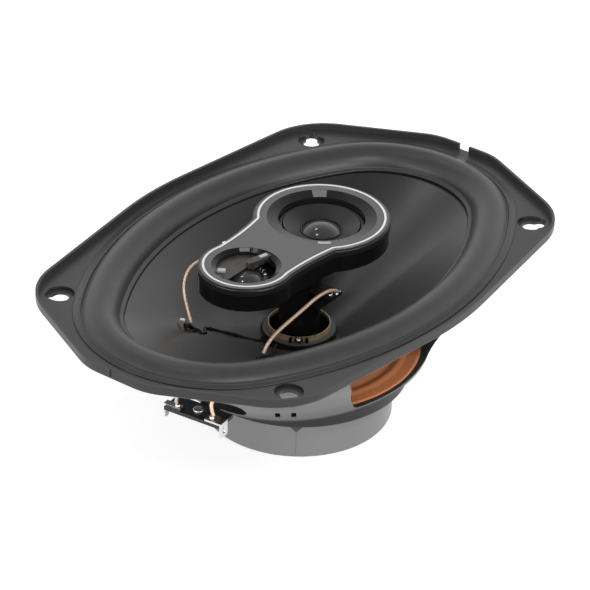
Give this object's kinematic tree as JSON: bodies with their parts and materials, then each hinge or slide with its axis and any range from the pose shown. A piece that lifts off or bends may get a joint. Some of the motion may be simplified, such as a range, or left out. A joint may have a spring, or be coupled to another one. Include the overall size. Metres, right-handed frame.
{
  "type": "coaxial car speaker",
  "caption": "Oval coaxial car speaker with a pressed steel basket, a rubber-edged cone, and a raised bridge that carries a mid driver and a tweeter.",
  "frame": {"origin": "centre of the magnet cover's bottom face, which is the bottom centre of the whole part", "axes": "+Z is the way the cone faces; +X runs along the long axis, from the tweeter towards the mid; the speaker stands on its magnet"},
  "size_m": [0.234, 0.156, 0.0843],
  "materials": {
    "basket_steel": "satin black powder coat",
    "surround_rubber": "matte butyl rubber",
    "gasket_paper": "matte",
    "cone_paper": "matte charcoal polypropylene",
    "spider_cloth": "orange-brown resin-treated cloth",
    "former_foil": "amber polyimide",
    "copper_wire": "bare copper",
    "black_glue": "glossy black adhesive",
    "grey_glue": "cured grey adhesive",
    "solder": "bright solder",
    "cover_steel": "satin grey paint",
    "zinc_steel": "zinc plated",
    "ferrite": "dark ferrite",
    "black_plastic": "black moulded plastic",
    "housing_gloss": "glossy black",
    "bezel_satin": "satin dark grey",
    "silver_line": "bright silver",
    "mid_paper": "matte black",
    "dome_gloss": "glossy dark film",
    "phase_satin": "satin grey-brown moulded plastic",
    "board_black": "black phenolic board",
    "terminal_tin": "tinned steel"
  },
  "bodies": {
    "frame": {"basket_frame": "basket_steel", "surround": "surround_rubber", "surround_gasket": "gasket_paper", "spider": "spider_cloth", "magnet_cover": "cover_steel", "yoke": "zinc_steel", "magnet_ring": "ferrite", "top_plate": "zinc_steel", "centre_post": "black_plastic", "post_screw": "zinc_steel", "bridge_housing": "housing_gloss", "bridge_bezel": "bezel_satin", "silver_trim": "silver_line", "crossover_boards": "board_black", "crossover_capacitors": "black_plastic", "crossover_solder": "solder", "terminal_board": "board_black", "terminal_rivet": "terminal_tin", "terminal_solder": "solder", "terminal_positive": "terminal_tin", "terminal_negative": "terminal_tin", "lead_right": "copper_wire", "lead_left": "copper_wire", "terminal_leads": "copper_wire", "mid_edge_roll": "surround_rubber", "mid_chassis": "black_plastic", "mid_yoke": "zinc_steel", "mid_magnet": "zinc_steel", "mid_pole_disc": "zinc_steel", "tweeter_edge_roll": "surround_rubber", "tweeter_chassis": "black_plastic", "tweeter_yoke": "zinc_steel", "tweeter_magnet": "zinc_steel", "tweeter_pole_disc": "zinc_steel", "tweeter_phase_plate": "phase_satin"},
    "cone_assembly": {"cone": "cone_paper", "voice_coil_former": "former_foil", "voice_coil_winding": "copper_wire", "neck_glue_ring": "grey_glue", "cone_eyelets": "black_glue", "coil_lead_lines": "black_glue", "coil_solder_joints": "solder", "coil_wire_sleeves": "black_plastic"},
    "mid_diaphragm": {"mid_cone": "mid_paper", "mid_dust_cap": "dome_gloss", "mid_voice_coil": "copper_wire"},
    "tweeter_diaphragm": {"tweeter_dome": "dome_gloss", "tweeter_voice_coil": "copper_wire"}
  },
  "joints": [
    {"name": "cone_travel", "type": "slide", "parent": "frame", "child": "cone_assembly", "axis": [0, 0, 1], "range_m": [-0.003, 0.003], "stiffness_N_per_m": 2500, "deforming": ["surround", "spider", "lead_right", "lead_left", "terminal_leads"]},
    {"name": "mid_travel", "type": "slide", "parent": "frame", "child": "mid_diaphragm", "axis": [0, 0, 1], "range_m": [-0.0005, 0.0005], "stiffness_N_per_m": 1500, "deforming": ["mid_edge_roll"]},
    {"name": "tweeter_travel", "type": "slide", "parent": "frame", "child": "tweeter_diaphragm", "axis": [0, 0, 1], "range_m": [-0.0002, 0.0002], "stiffness_N_per_m": 1500, "deforming": ["tweeter_edge_roll"]}
  ]
}
